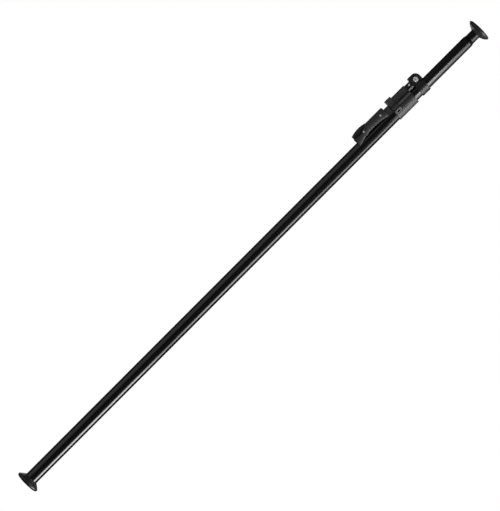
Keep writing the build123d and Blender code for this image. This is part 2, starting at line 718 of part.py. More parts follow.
def pinch_nut():
    """Hexagon nut on the far side of the ears."""
    face = LUG_HALF_WIDTH + WASHER_THICKNESS
    hexagon = Pos(BOLT_X, BOLT_Z) * RegularPolygon(NUT_RADIUS, HEX_SIDES)
    nut = plate(hexagon, face, face + NUT_THICKNESS)
    return nut - rod(BOLT_X, BOLT_Z, face, face + NUT_THICKNESS, BOLT_RADIUS)


# ---------------------------------------------------------------- write every piece
PIECES = [
    outer_tube, fixed_pad, fixed_plug, main_collar, guide_bush, lever_bracket, lever_rivets,
    catch_keeper, housing_cover, lever_handle, crank_pin, catch_pin, thumb_catch,
    release_slide, push_bar, link_block, link_screw, clamp_ring, pinch_bolt, pinch_washer,
    pinch_nut, inner_tube, tail_bush, end_neck, moving_pad,
]

for make_piece in PIECES:
    save(make_piece(), make_piece.__name__)

far_rail = housing_rail()
save(far_rail, "housing_rail_far")
save(mirror(far_rail, Plane.XZ), "housing_rail_near")
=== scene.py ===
"""Looks of a telescoping cargo bar: finishes, moulded rubber pads, studio and camera."""

import logging
import math
from dataclasses import dataclass
from enum import Enum
from typing import Any, Iterable, Protocol

import bmesh
import bpy
from mathutils import Matrix, Vector


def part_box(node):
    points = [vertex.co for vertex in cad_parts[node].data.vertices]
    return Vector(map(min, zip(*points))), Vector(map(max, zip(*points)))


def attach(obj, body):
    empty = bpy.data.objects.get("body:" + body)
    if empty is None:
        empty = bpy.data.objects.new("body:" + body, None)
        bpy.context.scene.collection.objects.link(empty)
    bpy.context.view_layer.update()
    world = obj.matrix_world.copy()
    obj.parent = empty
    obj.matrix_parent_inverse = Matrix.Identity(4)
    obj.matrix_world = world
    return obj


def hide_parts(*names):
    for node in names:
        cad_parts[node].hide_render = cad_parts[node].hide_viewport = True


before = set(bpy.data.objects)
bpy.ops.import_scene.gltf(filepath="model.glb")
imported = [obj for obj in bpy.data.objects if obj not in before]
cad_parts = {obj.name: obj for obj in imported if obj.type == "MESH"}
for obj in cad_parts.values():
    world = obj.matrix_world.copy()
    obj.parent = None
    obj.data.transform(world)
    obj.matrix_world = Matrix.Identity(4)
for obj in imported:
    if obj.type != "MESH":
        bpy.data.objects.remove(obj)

LOG = logging.getLogger("cargo_bar")
MM = 0.001
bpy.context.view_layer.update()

# Sockets of a Mix node: A, B and result for colours, A and B for numbers.
COLOUR_A, COLOUR_B, COLOUR_OUT = 6, 7, 2
NUMBER_A, NUMBER_B = 2, 3
# A noise texture stays mostly between these values, so ranges are mapped from them.
NOISE_LOW, NOISE_HIGH = 0.3, 0.7
# Points of a turned mesh that are closer than this, in metres, are one point.
MERGE_DISTANCE = 1e-6
# Edges of a turned mesh that turn by more than this stay crisp.
TURNED_SHARP_DEG = 60.0
# How far the soft boxes stand from the bar's axis, in metres.
KEY_DISTANCE = 2.3
NEAR_DISTANCE = 1.0
FILL_DISTANCE = 3.0


# ------------------------------------------------------------------ shared helpers
def linear(hex_colour: str) -> tuple[float, float, float, float]:
    """Turn an sRGB hex colour into the linear RGBA that shaders take.

    Args:
        hex_colour: Six hex digits, with or without a leading hash.

    Returns:
        Linear red, green, blue and an alpha of 1.
    """
    digits = hex_colour.lstrip("#")
    channels = []
    for start in (0, 2, 4):
        value = int(digits[start:start + 2], 16) / 255
        channels.append(value / 12.92 if value <= 0.04045 else ((value + 0.055) / 1.055) ** 2.4)
    return (channels[0], channels[1], channels[2], 1.0)


def per_metre(size_mm: float) -> float:
    """Texture scale whose features are about size_mm across, in object space."""
    return 1000.0 / size_mm


def add_node(
    tree: bpy.types.NodeTree,
    kind: str,
    settings: dict[str, Any] | None = None,
    inputs: dict[str | int, Any] | None = None,
    links: dict[str | int, bpy.types.NodeSocket] | None = None,
) -> bpy.types.Node:
    """Add one shader node with its settings, socket values and incoming links.

    Args:
        tree: The node tree that gets the node.
        kind: The node's type name.
        settings: Node properties to set.
        inputs: Values for unlinked sockets, by name or index.
        links: Sockets of other nodes that feed this node, by name or index.

    Returns:
        The new node.
    """
    node = tree.nodes.new(kind)
    for name, value in (settings or {}).items():
        setattr(node, name, value)
    for name, value in (inputs or {}).items():
        node.inputs[name].default_value = value
    for name, socket in (links or {}).items():
        tree.links.new(socket, node.inputs[name])
    return node


def new_material(name: str) -> tuple[bpy.types.Material, bpy.types.NodeTree]:
    """Make an empty node material.

    Args:
        name: The material's name.

    Returns:
        The material and its cleared node tree.
    """
    material = bpy.data.materials.new(name)
    material.use_nodes = True
    material.node_tree.nodes.clear()
    return material, material.node_tree


def close_material(tree: bpy.types.NodeTree, shader: bpy.types.Node) -> None:
    """Join a surface shader to a new material output.

    Args:
        tree: The material's node tree.
        shader: The node whose first output is the surface.
    """
    add_node(tree, "ShaderNodeOutputMaterial", links={"Surface": shader.outputs[0]})


class Finish(Protocol):
    """Anything that can make the material of one real surface."""

    def material(self) -> bpy.types.Material:
        """Make the surface's material."""


# ------------------------------------------------------------------ finishes
class Sheen(Enum):
    """How glossy a sprayed or baked black coat comes out."""

    GLOSS = 0.18
    SEMI = 0.23
    SATIN = 0.42
    EGGSHELL = 0.52


@dataclass(frozen=True)
class PowderCoat:
    """Black powder coat: sprayed dry on steel or aluminium and baked.

    The melt leaves a faint orange peel, so straight reflections waver slightly, and handling
    leaves duller rubbed stretches.
    """

    name: str
    colour: str
    worn_colour: str
    sheen: Sheen
    peel_mm: float = 2.4
    peel_depth_mm: float = 0.012
    rub_mm: float = 60.0
    rub_stretch: float = 1.0
    rub_roughness: float = 0.08

    def material(self) -> bpy.types.Material:
        """Make the coat's material.

        Returns:
            The new node material.
        """
        material, tree = new_material(self.name)
        place = add_node(tree, "ShaderNodeTexCoord").outputs["Object"]
        stretched = add_node(
            tree, "ShaderNodeMapping",
            inputs={"Scale": (1.0 / self.rub_stretch, 1.0, 1.0)}, links={"Vector": place},
        ).outputs[0]
        rub = add_node(
            tree, "ShaderNodeTexNoise",
            inputs={"Scale": per_metre(self.rub_mm), "Detail": 6.0, "Roughness": 0.6},
            links={"Vector": stretched},
        ).outputs["Fac"]
        # The real peel is about 1 mm across; it is drawn at peel_mm so that it shows at all.
        peel = add_node(
            tree, "ShaderNodeTexNoise",
            inputs={"Scale": per_metre(self.peel_mm), "Detail": 2.0, "Roughness": 0.4},
            links={"Vector": place},
        ).outputs["Fac"]
        colour = add_node(
            tree, "ShaderNodeMix", settings={"data_type": "RGBA"},
            inputs={COLOUR_A: linear(self.colour), COLOUR_B: linear(self.worn_colour)},
            links={0: rub},
        ).outputs[COLOUR_OUT]
        roughness = add_node(
            tree, "ShaderNodeMapRange",
            inputs={
                "From Min": NOISE_LOW, "From Max": NOISE_HIGH,
                "To Min": self.sheen.value - self.rub_roughness / 2,
                "To Max": self.sheen.value + self.rub_roughness / 2,
            },
            links={"Value": rub},
        ).outputs[0]
        bump = add_node(
            tree, "ShaderNodeBump",
            inputs={"Strength": 1.0, "Distance": self.peel_depth_mm * MM}, links={"Height": peel},
        ).outputs[0]
        shader = add_node(
            tree, "ShaderNodeBsdfPrincipled",
            inputs={"IOR": 1.5, "Metallic": 0.0},
            links={"Base Color": colour, "Roughness": roughness, "Normal": bump},
        )
        close_material(tree, shader)
        return material


@dataclass(frozen=True)
class CastSatin:
    """Satin black e-coat on a sand-blasted die casting.

    The blasted skin under the thin coat scatters light, so the lower side shows a broad grey
    glow in place of a sharp highlight.
    """

    name: str
    colour: str
    high_colour: str
    roughness: float
    grit_mm: float = 1.4
    grit_depth_mm: float = 0.03
    cloud_mm: float = 26.0
    roughness_swing: float = 0.06

    def material(self) -> bpy.types.Material:
        """Make the casting's material.

        Returns:
            The new node material.
        """
        material, tree = new_material(self.name)
        place = add_node(tree, "ShaderNodeTexCoord").outputs["Object"]
        cloud = add_node(
            tree, "ShaderNodeTexNoise",
            inputs={"Scale": per_metre(self.cloud_mm), "Detail": 5.0, "Roughness": 0.55},
            links={"Vector": place},
        ).outputs["Fac"]
        # Blast grit is about 0.3 mm; it is drawn at grit_mm, the finest that still shows.
        grit = add_node(
            tree, "ShaderNodeTexVoronoi", settings={"feature": "SMOOTH_F1"},
            inputs={"Scale": per_metre(self.grit_mm), "Smoothness": 0.6},
            links={"Vector": place},
        ).outputs["Distance"]
        colour = add_node(
            tree, "ShaderNodeMix", settings={"data_type": "RGBA"},
            inputs={COLOUR_A: linear(self.colour), COLOUR_B: linear(self.high_colour)},
            links={0: cloud},
        ).outputs[COLOUR_OUT]
        roughness = add_node(
            tree, "ShaderNodeMapRange",
            inputs={
                "From Min": 0.0, "From Max": 1.0,
                "To Min": self.roughness - self.roughness_swing,
                "To Max": self.roughness + self.roughness_swing,
            },
            links={"Value": cloud},
        ).outputs[0]
        bump = add_node(
            tree, "ShaderNodeBump",
            inputs={"Strength": 1.0, "Distance": self.grit_depth_mm * MM}, links={"Height": grit},
        ).outputs[0]
        shader = add_node(
            tree, "ShaderNodeBsdfPrincipled",
            inputs={"IOR": 1.5, "Metallic": 0.0},
            links={"Base Color": colour, "Roughness": roughness, "Normal": bump},
        )
        close_material(tree, shader)
        return material


@dataclass(frozen=True)
class MouldedRubber:
    """Carbon-black EPDM rubber, compression moulded.

    It drinks light and shows only a soft grey sheen on rounded edges; a faint bloom and fine
    dust lift the black unevenly.
    """

    name: str = "moulded_epdm_rubber"
    colour: str = "#0B0B0B"
    bloom_colour: str = "#1A1A19"
    roughness: float = 0.42
    smoother_by: float = 0.05
    rougher_by: float = 0.1
    speckle_mm: float = 0.9
    speckle_depth_mm: float = 0.02
    bloom_mm: float = 18.0
    bloom_from: float = 0.42
    bloom_full: float = 0.75

    def material(self) -> bpy.types.Material:
        """Make the rubber's material.

        Returns:
            The new node material.
        """
        material, tree = new_material(self.name)
        place = add_node(tree, "ShaderNodeTexCoord").outputs["Object"]
        bloom = add_node(
            tree, "ShaderNodeTexNoise",
            inputs={"Scale": per_metre(self.bloom_mm), "Detail": 8.0, "Roughness": 0.65},
            links={"Vector": place},
        ).outputs["Fac"]
        speckle = add_node(
            tree, "ShaderNodeTexNoise",
            inputs={"Scale": per_metre(self.speckle_mm), "Detail": 1.0}, links={"Vector": place},
        ).outputs["Fac"]
        dusty = add_node(
            tree, "ShaderNodeMapRange",
            inputs={
                "From Min": self.bloom_from, "From Max": self.bloom_full,
                "To Min": 0.0, "To Max": 1.0,
            },
            links={"Value": bloom},
        ).outputs[0]
        colour = add_node(
            tree, "ShaderNodeMix", settings={"data_type": "RGBA"},
            inputs={COLOUR_A: linear(self.colour), COLOUR_B: linear(self.bloom_colour)},
            links={0: dusty},
        ).outputs[COLOUR_OUT]
        roughness = add_node(
            tree, "ShaderNodeMapRange",
            inputs={
                "From Min": NOISE_LOW, "From Max": NOISE_HIGH,
                "To Min": self.roughness - self.smoother_by,
                "To Max": self.roughness + self.rougher_by,
            },
            links={"Value": bloom},
        ).outputs[0]
        bump = add_node(
            tree, "ShaderNodeBump",
            inputs={"Strength": 1.0, "Distance": self.speckle_depth_mm * MM},
            links={"Height": speckle},
        ).outputs[0]
        shader = add_node(
            tree, "ShaderNodeBsdfPrincipled",
            inputs={
                "IOR": 1.52, "Metallic": 0.0, "Sheen Weight": 0.06, "Sheen Roughness": 0.5,
            },
            links={"Base Color": colour, "Roughness": roughness, "Normal": bump},
        )
        close_material(tree, shader)
        return material


@dataclass(frozen=True)
class FilledNylon:
    """Black glass-filled nylon, injection moulded in a spark-eroded tool.

    The eroded mould texture kills any mirror reflection and leaves a dull, even face.
    """

    name: str
    colour: str
    roughness: float = 0.55
    texture_mm: float = 1.1
    texture_depth_mm: float = 0.03
    flow_mm: float = 9.0
    flow_dark: float = 0.75
    flow_pale: float = 1.3
    smoother_by: float = 0.05
    rougher_by: float = 0.06

    def material(self) -> bpy.types.Material:
        """Make the nylon's material.

        Returns:
            The new node material.
        """
        material, tree = new_material(self.name)
        place = add_node(tree, "ShaderNodeTexCoord").outputs["Object"]
        texture = add_node(
            tree, "ShaderNodeTexNoise",
            inputs={"Scale": per_metre(self.texture_mm), "Detail": 3.0, "Roughness": 0.7},
            links={"Vector": place},
        ).outputs["Fac"]
        # Glass fibres near the skin show as slightly paler flow streaks a few millimetres long.
        flow = add_node(
            tree, "ShaderNodeTexNoise",
            inputs={"Scale": per_metre(self.flow_mm), "Detail": 4.0, "Distortion": 0.6},
            links={"Vector": place},
        ).outputs["Fac"]
        hue = add_node(
            tree, "ShaderNodeHueSaturation", inputs={"Color": linear(self.colour)},
            links={
                "Value": add_node(
                    tree, "ShaderNodeMapRange",
                    inputs={
                        "From Min": NOISE_LOW, "From Max": NOISE_HIGH,
                        "To Min": self.flow_dark, "To Max": self.flow_pale,
                    },
                    links={"Value": flow},
                ).outputs[0]
            },
        ).outputs[0]
        roughness = add_node(
            tree, "ShaderNodeMapRange",
            inputs={
                "From Min": NOISE_LOW, "From Max": NOISE_HIGH,
                "To Min": self.roughness - self.smoother_by,
                "To Max": self.roughness + self.rougher_by,
            },
            links={"Value": flow},
        ).outputs[0]
        bump = add_node(
            tree, "ShaderNodeBump",
            inputs={"Strength": 1.0, "Distance": self.texture_depth_mm * MM},
            links={"Height": texture},
        ).outputs[0]
        shader = add_node(
            tree, "ShaderNodeBsdfPrincipled",
            inputs={"IOR": 1.53, "Metallic": 0.0},
            links={"Base Color": hue, "Roughness": roughness, "Normal": bump},
        )
        close_material(tree, shader)
        return material


@dataclass(frozen=True)
class ZincFlake:
    """Zinc-flake dip coat on a headed steel fastener.

    The flakes lie at all angles in a pale binder, so the face stays light grey and even from
    any side, with a soft brighter patch towards the lamp.
    """

    name: str
    colour: str = "#CFD1D1"
    shade_colour: str = "#A9ACAD"
    metallic: float = 0.35
    roughness: float = 0.5
    roughness_swing: float = 0.06
    cloud_mm: float = 4.0
    flake_mm: float = 1.0
    flake_depth_mm: float = 0.02
    flake_share: float = 0.25

    def material(self) -> bpy.types.Material:
        """Make the coat's material.

        Returns:
            The new node material.
        """
        material, tree = new_material(self.name)
        place = add_node(tree, "ShaderNodeTexCoord").outputs["Object"]
        cloud = add_node(
            tree, "ShaderNodeTexNoise",
            inputs={"Scale": per_metre(self.cloud_mm), "Detail": 5.0, "Roughness": 0.6},
            links={"Vector": place},
        ).outputs["Fac"]
        # Real flakes are some 20 micrometres; they are drawn at flake_mm so that they show.
        flake = add_node(
            tree, "ShaderNodeTexVoronoi", inputs={"Scale": per_metre(self.flake_mm)},
            links={"Vector": place},
        )
        shade = add_node(
            tree, "ShaderNodeMix", settings={"data_type": "FLOAT"},
            inputs={0: self.flake_share},
            links={NUMBER_A: cloud, NUMBER_B: flake.outputs["Color"]},
        ).outputs[0]
        colour = add_node(
            tree, "ShaderNodeMix", settings={"data_type": "RGBA"},
            inputs={COLOUR_A: linear(self.shade_colour), COLOUR_B: linear(self.colour)},
            links={0: shade},
        ).outputs[COLOUR_OUT]
        roughness = add_node(
            tree, "ShaderNodeMapRange",
            inputs={
                "From Min": NOISE_LOW, "From Max": NOISE_HIGH,
                "To Min": self.roughness - self.roughness_swing,
                "To Max": self.roughness + self.roughness_swing,
            },
            links={"Value": cloud},
        ).outputs[0]
        bump = add_node(
            tree, "ShaderNodeBump",
            inputs={"Strength": 1.0, "Distance": self.flake_depth_mm * MM},
            links={"Height": flake.outputs["Distance"]},
        ).outputs[0]
        shader = add_node(
            tree, "ShaderNodeBsdfPrincipled", inputs={"Metallic": self.metallic},
            links={"Base Color": colour, "Roughness": roughness, "Normal": bump},
        )
        close_material(tree, shader)
        return material


@dataclass(frozen=True)
class ZincSteel:
    """Dull zinc-plated steel bar, cold drawn.

    Plating over drawing marks: a grey metal with fine streaks along the bar that break up the
    glare.
    """

    name: str
    colour: str
    dull_colour: str
    roughness: float
    roughness_swing: float = 0.08
    spangle_mm: float = 3.5
    mark_mm: float = 0.8
    mark_depth_mm: float = 0.008
    mark_stretch: float = 0.12

    def material(self) -> bpy.types.Material:
        """Make the plated steel's material.

        Returns:
            The new node material.
        """
        material, tree = new_material(self.name)
        place = add_node(tree, "ShaderNodeTexCoord").outputs["Object"]
        spangle = add_node(
            tree, "ShaderNodeTexNoise",
            inputs={"Scale": per_metre(self.spangle_mm), "Detail": 4.0, "Roughness": 0.6},
            links={"Vector": place},
        ).outputs["Fac"]
        marks = add_node(
            tree, "ShaderNodeTexNoise",
            inputs={"Scale": per_metre(self.mark_mm), "Detail": 2.0},
            links={
                "Vector": add_node(
                    tree, "ShaderNodeMapping", inputs={"Scale": (self.mark_stretch, 1.0, 1.0)},
                    links={"Vector": place},
                ).outputs[0]
            },
        ).outputs["Fac"]
        colour = add_node(
            tree, "ShaderNodeMix", settings={"data_type": "RGBA"},
            inputs={COLOUR_A: linear(self.dull_colour), COLOUR_B: linear(self.colour)},
            links={0: spangle},
        ).outputs[COLOUR_OUT]
        roughness = add_node(
            tree, "ShaderNodeMapRange",
            inputs={
                "From Min": NOISE_LOW, "From Max": NOISE_HIGH,
                "To Min": self.roughness - self.roughness_swing,
                "To Max": self.roughness + self.roughness_swing,
            },
            links={"Value": spangle},
        ).outputs[0]
        bump = add_node(
            tree, "ShaderNodeBump",
            inputs={"Strength": 1.0, "Distance": self.mark_depth_mm * MM},
            links={"Height": marks},
        ).outputs[0]
        shader = add_node(
            tree, "ShaderNodeBsdfPrincipled", inputs={"Metallic": 1.0},
            links={"Base Color": colour, "Roughness": roughness, "Normal": bump},
        )
        close_material(tree, shader)
        return material


# ------------------------------------------------------------------ meshes
def dress(node: str, material: bpy.types.Material) -> None:
    """Give a carried-over node its material.

    Args:
        node: The node's name.
        material: The material for all of it.
    """
    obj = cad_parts[node]
    obj.data.materials.clear()
    obj.data.materials.append(material)
    LOG.info("dressed %s in %s", node, material.name)


def lathe(name: str, profile: Iterable[tuple[float, float]], steps: int = 128) -> bpy.types.Object:
    """Turn an outline about the bar's axis into a closed mesh.

    Args:
        name: The new object's name.
        profile: Points (x, radius) in metres, from the axis round to the axis.
        steps: How many facets go round.

    Returns:
        The turned object, smooth shaded and linked to the scene.
    """
    shape = bmesh.new()
    ring = [shape.verts.new((x, 0.0, radius)) for x, radius in profile]
    edges = [shape.edges.new(pair) for pair in zip(ring, ring[1:])]
    bmesh.ops.spin(
        shape, geom=ring + edges, axis=(1, 0, 0), cent=(0, 0, 0), dvec=(0, 0, 0),
        angle=2 * math.pi, steps=steps, use_merge=False, use_duplicate=False,
    )
    bmesh.ops.remove_doubles(shape, verts=shape.verts, dist=MERGE_DISTANCE)
    return finish_mesh(name, shape, TURNED_SHARP_DEG)


def arc(
    centre: tuple[float, float], radius: float, start_deg: float, end_deg: float, steps: int = 8
) -> list[tuple[float, float]]:
    """Points on a circular arc in the (x, radius) plane.

    Args:
        centre: The arc's centre.
        radius: Its radius.
        start_deg: Angle of the first point, anticlockwise from +x.
        end_deg: Angle of the last point.
        steps: How many spans the arc has.

    Returns:
        The points from start to end.
    """
    points = []
    for index in range(steps + 1):
        angle = math.radians(start_deg + (end_deg - start_deg) * index / steps)
        points.append((centre[0] + radius * math.cos(angle), centre[1] + radius * math.sin(angle)))
    return points


def finish_mesh(name: str, shape: bmesh.types.BMesh, sharp_deg: float) -> bpy.types.Object:
    """Turn a finished bmesh into a smooth-shaded object in the scene.

    Args:
        name: The new object's name.
        shape: The built shape, which is freed.
        sharp_deg: Edges that turn by more than this stay crisp.

    Returns:
        The new object.
    """
    bmesh.ops.recalc_face_normals(shape, faces=shape.faces)
    mesh = bpy.data.meshes.new(name)
    shape.to_mesh(mesh)
    shape.free()
    obj = bpy.data.objects.new(name, mesh)
    bpy.context.scene.collection.objects.link(obj)
    mesh.shade_smooth()
    mesh.set_sharp_from_angle(angle=math.radians(sharp_deg))
    return obj


def loft(shape: bmesh.types.BMesh, loops: list[list[tuple[float, float, float]]]) -> None:
    """Skin a run of equal closed loops and cap both ends.

    Args:
        shape: The bmesh that gets the faces.
        loops: Closed loops of points in millimetres, all of one length.
    """
    rings = [[shape.verts.new(Vector(point) * MM) for point in loop] for loop in loops]
    count = len(loops[0])
    for low, high in zip(rings, rings[1:]):
        for index in range(count):
            after = (index + 1) % count
            shape.faces.new((low[index], low[after], high[after], high[index]))
    shape.faces.new(rings[0])
    shape.faces.new(list(reversed(rings[-1])))


# ------------------------------------------------------------------ sub-assemblies
@dataclass
class RubberPad:
    """A mushroom pad: domed ringed face, rounded rim, narrow groove and a flare to its lip.

    Sizes are in millimetres, measured in from the middle of the pad's face.
    """

    name: str
    node: str
    body: str
    rim: float
    back: float
    lip_radius: float
    faces_plus_x: bool
    swell: float
    radius: float = 41.5
    dome: float = 3.5
    rim_round: float = 8.0
    groove_radii: tuple[float, ...] = (12.0, 20.0, 28.0)
    groove_width: float = 2.0
    groove_steps: int = 6
    rim_steps: int = 10
    edge_round: float = 0.8
    edge_steps: int = 4
    step_depth: float = 1.9
    foot_depth: float = 2.2
    foot_reach: float = 0.8
    flare_steps: int = 9
    lip_inset: float = 1.2
    lip_round: float = 1.0
    lip_start_deg: float = 80.0
    hub_radius: float = 2.0

    def set_back(self, radius: float) -> float:
        """How far the domed face has dropped back at a radius."""
        return self.dome * (radius / self.radius) ** 2

    def outline(self) -> list[tuple[float, float]]:
        """Half outline of the pad, from the face's centre to the lip and back to the axis.

        Returns:
            Points (x, radius) in millimetres.
        """
        points = [(0.0, 0.0)]
        for groove in self.groove_radii:
            middle = (self.set_back(groove), groove)
            points += arc(middle, self.groove_width / 2, -90, 90, self.groove_steps)
        flat_edge = self.radius - self.rim_round
        corner = (self.rim_round, flat_edge)
        points += [
            (x + self.set_back(flat_edge) * (1 - x / self.rim_round), r)
            for x, r in arc(corner, self.rim_round, 180, 90, self.rim_steps)
        ]
        edge = (self.rim - self.edge_round, self.radius - self.edge_round)
        points += arc(edge, self.edge_round, 90, 0, self.edge_steps)
        foot = (self.rim + self.foot_reach, self.radius - self.foot_depth)
        points += [(self.rim, self.radius - self.step_depth), foot]
        lip = (self.back - self.lip_inset, self.lip_radius + self.lip_round)
        for step in range(1, self.flare_steps):
            share = step / self.flare_steps
            bulge = self.swell * math.sin(math.pi * share)
            points.append((
                foot[0] + (lip[0] - foot[0]) * share,
                foot[1] + (lip[1] - foot[1]) * share + bulge,
            ))
        lip_centre = (self.back - self.lip_round, self.lip_radius)
        points += arc(lip_centre, self.lip_round, self.lip_start_deg, 0, self.edge_steps)
        points += [(self.back, self.hub_radius), (self.back, 0.0)]
        return points

    def build(self, finish: Finish) -> bpy.types.Object:
        """Turn the pad, dress it and let it ride in place of its plain solid.

        Args:
            finish: The rubber's finish.

        Returns:
            The pad.
        """
        low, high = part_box(self.node)
        face = high.x if self.faces_plus_x else low.x
        way = -1.0 if self.faces_plus_x else 1.0
        pad = lathe(self.name, [(face + way * x * MM, r * MM) for x, r in self.outline()])
        pad.data.materials.append(finish.material())
        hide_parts(self.node)
        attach(pad, self.body)
        LOG.info("built %s", self.name)
        return pad


@dataclass
class TubeSet:
    """The two nested tubes with their plugs, bushes and the turned neck."""

    outer_finish: Finish
    inner_finish: Finish
    neck_finish: Finish
    bush_finish: Finish

    def dress(self) -> None:
        """Give each tube and its end pieces their finishes."""
        dress("outer_tube", self.outer_finish.material())
        dress("inner_tube", self.inner_finish.material())
        dress("end_neck", self.neck_finish.material())
        nylon = self.bush_finish.material()
        for node in ("fixed_plug", "guide_bush", "tail_bush"):
            dress(node, nylon)


@dataclass
class LeverShell:
    """Cast lever: two cheeks whose faces roll inwards to an arched lower edge, and a web.

    Sizes are in millimetres in the model's frame.
    """

    start: float = 1551.5
    end: float = 1686.8
    top: float = 48.0
    arch_points: tuple[tuple[float, float], ...] = ((1551.5, 5.8), (1626.05, 19.1), (1686.8, 10.1))
    upper_points: tuple[tuple[float, float], ...] = (
        (1551.5, 38.2), (1574.1, 33.2), (1583.1, 33.2), (1588.1, 38.2), (1596.1, 40.2),
        (1611.6, 48.0), (1686.8, 48.0),
    )
    inner: float = 23.0
    nose_round: float = 4.5
    tip_round: float = 2.5
    blend: float = 1.6
    blend_samples: int = 9
    web: tuple[float, float, float] = (1614.6, 1648.0, 3.0)
    web_edge: float = 0.6
    web_overlap: float = 0.4
    station_gap: float = 2.0
    end_stations: int = 8
    sharp_deg: float = 40.0
    roll: tuple[tuple[float, float], ...] = (
        (0.0, 23.5), (0.15, 23.9), (0.5, 24.25), (1.5, 24.75), (3.0, 25.3), (5.0, 25.9),
        (7.0, 26.35), (9.0, 26.65), (11.0, 26.85), (13.5, 26.97), (16.0, 27.0),
    )
    middle_room: float = 0.5
    heel: tuple[tuple[float, float], ...] = ((1.0, 0.0), (0.3, 0.1))
    crown: tuple[tuple[float, float], ...] = (
        (2.0, 27.0), (1.2, 26.85), (0.6, 26.5), (0.2, 26.0), (0.0, 25.4), (0.0, 24.0),
        (0.15, 23.5), (0.5, 23.15), (1.1, 23.0),
    )

    def arch(self, x: float) -> float:
        """Height of the arched lower edge, on the circle through its three points.

        Args:
            x: Place along the bar.

        Returns:
            The height, in millimetres above the bar's axis.
        """
        (ax, az), (bx, bz), (cx, cz) = self.arch_points
        turn = 2 * (ax * (bz - cz) + bx * (cz - az) + cx * (az - bz))
        a2, b2, c2 = ax * ax + az * az, bx * bx + bz * bz, cx * cx + cz * cz
        ux = (a2 * (bz - cz) + b2 * (cz - az) + c2 * (az - bz)) / turn
        uz = (a2 * (cx - bx) + b2 * (ax - cx) + c2 * (bx - ax)) / turn
        radius = math.hypot(ax - ux, az - uz)
        return uz + math.sqrt(radius * radius - (x - ux) ** 2)

    def upper(self, x: float) -> float:
        """Height of the upper edge, with its corners eased over the blend length.

        Args:
            x: Place along the bar.

        Returns:
            The height, in millimetres above the bar's axis.
        """
        total = 0.0
        for index in range(self.blend_samples):
            at = x + self.blend * (2 * index / (self.blend_samples - 1) - 1)
            at = min(max(at, self.start), self.end)
            for (x0, z0), (x1, z1) in zip(self.upper_points, self.upper_points[1:]):
                if x0 <= at <= x1:
                    total += z0 + (z1 - z0) * (at - x0) / (x1 - x0)
                    break
        return total / self.blend_samples

    def corner(self, x: float, radius: float, from_end: bool) -> float:
        """How far a rounded corner of the side outline moves the edge.

        Args:
            x: Place along the bar.
            radius: The corner's radius.
            from_end: Whether the corner is at the pivot's end, not at the free tip.

        Returns:
            The shift in millimetres, 0 away from the corner.
        """
        reach = x - (self.end - radius) if from_end else (self.start + radius) - x
        if reach <= 0:
            return 0.0
        return radius - math.sqrt(max(radius * radius - reach * reach, 0.0))

    def section(self, x: float, side: int) -> list[tuple[float, float, float]]:
        """One closed loop of a cheek at x.

        Args:
            x: Station along the bar.
            side: +1 or -1, the cheek's side.

        Returns:
            Points from the lower edge up the outer face and down the inner face.
        """
        low = self.arch(x) + self.corner(x, self.nose_round, True)
        low += self.corner(x, self.tip_round, False)
        high = self.upper(x) - self.corner(x, self.nose_round, True)
        high -= self.corner(x, self.tip_round, False)
        room = (high - low) - self.crown[0][0] - self.middle_room
        squeeze = min(1.0, room / self.roll[-1][0])
        points = [(y, low + rise * squeeze) for rise, y in self.roll]
        points += [(y, high - drop) for drop, y in self.crown]
        points += [(self.inner + out, low + rise) for rise, out in self.heel]
        return [(x, side * y, z) for y, z in points]

    def stations(self) -> list[float]:
        """Places along the lever, close together at its rounded ends.

        Returns:
            The places in rising order.
        """
        places = []
        for index in range(self.end_stations + 1):
            angle = math.pi / 2 * index / self.end_stations
            places.append(self.start + self.tip_round * (1 - math.cos(angle)))
            places.append(self.end - self.nose_round * (1 - math.cos(angle)))
        x = self.start + self.tip_round + self.station_gap
        while x < self.end - self.nose_round - self.station_gap / 2:
            places.append(x)
            x += self.station_gap
        return sorted(places)

    def build(self, finish: Finish) -> bpy.types.Object:
        """Build both cheeks and the web, dress them and let them ride as the lever.

        Args:
            finish: The lever's finish.

        Returns:
            The lever.
        """
        shape = bmesh.new()
        for side in (1, -1):
            loft(shape, [self.section(x, side) for x in self.stations()])
        low, high, thick = self.web
        edge = self.web_edge
        y = self.inner + self.web_overlap
        web_loops = []
        for x, shrink in ((low, edge), (low + edge, 0.0), (high - edge, 0.0), (high, edge)):
            web_loops.append([
                (x, -y, self.top - thick + shrink), (x, y, self.top - thick + shrink),
                (x, y, self.top - shrink), (x, -y, self.top - shrink),
            ])
        loft(shape, web_loops)
        lever = finish_mesh("lever_shell", shape, self.sharp_deg)
        lever.data.materials.append(finish.material())
        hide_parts("lever_handle")
        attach(lever, "lever")
        LOG.info("built lever_shell")
        return lever


@dataclass
class LeverSet:
    """Lever, thumb catch, saddle bracket and the pins between them."""

    lever_finish: Finish
    catch_finish: Finish
    bracket_finish: Finish
    pin_finish: Finish

    def dress(self) -> None:
        """Give the lever's pieces their finishes."""
        LeverShell().build(self.lever_finish)
        dress("thumb_catch", self.catch_finish.material())
        dress("lever_bracket", self.bracket_finish.material())
        pins = self.pin_finish.material()
        for node in ("lever_rivets", "catch_pin", "crank_pin", "catch_keeper"):
            dress(node, pins)


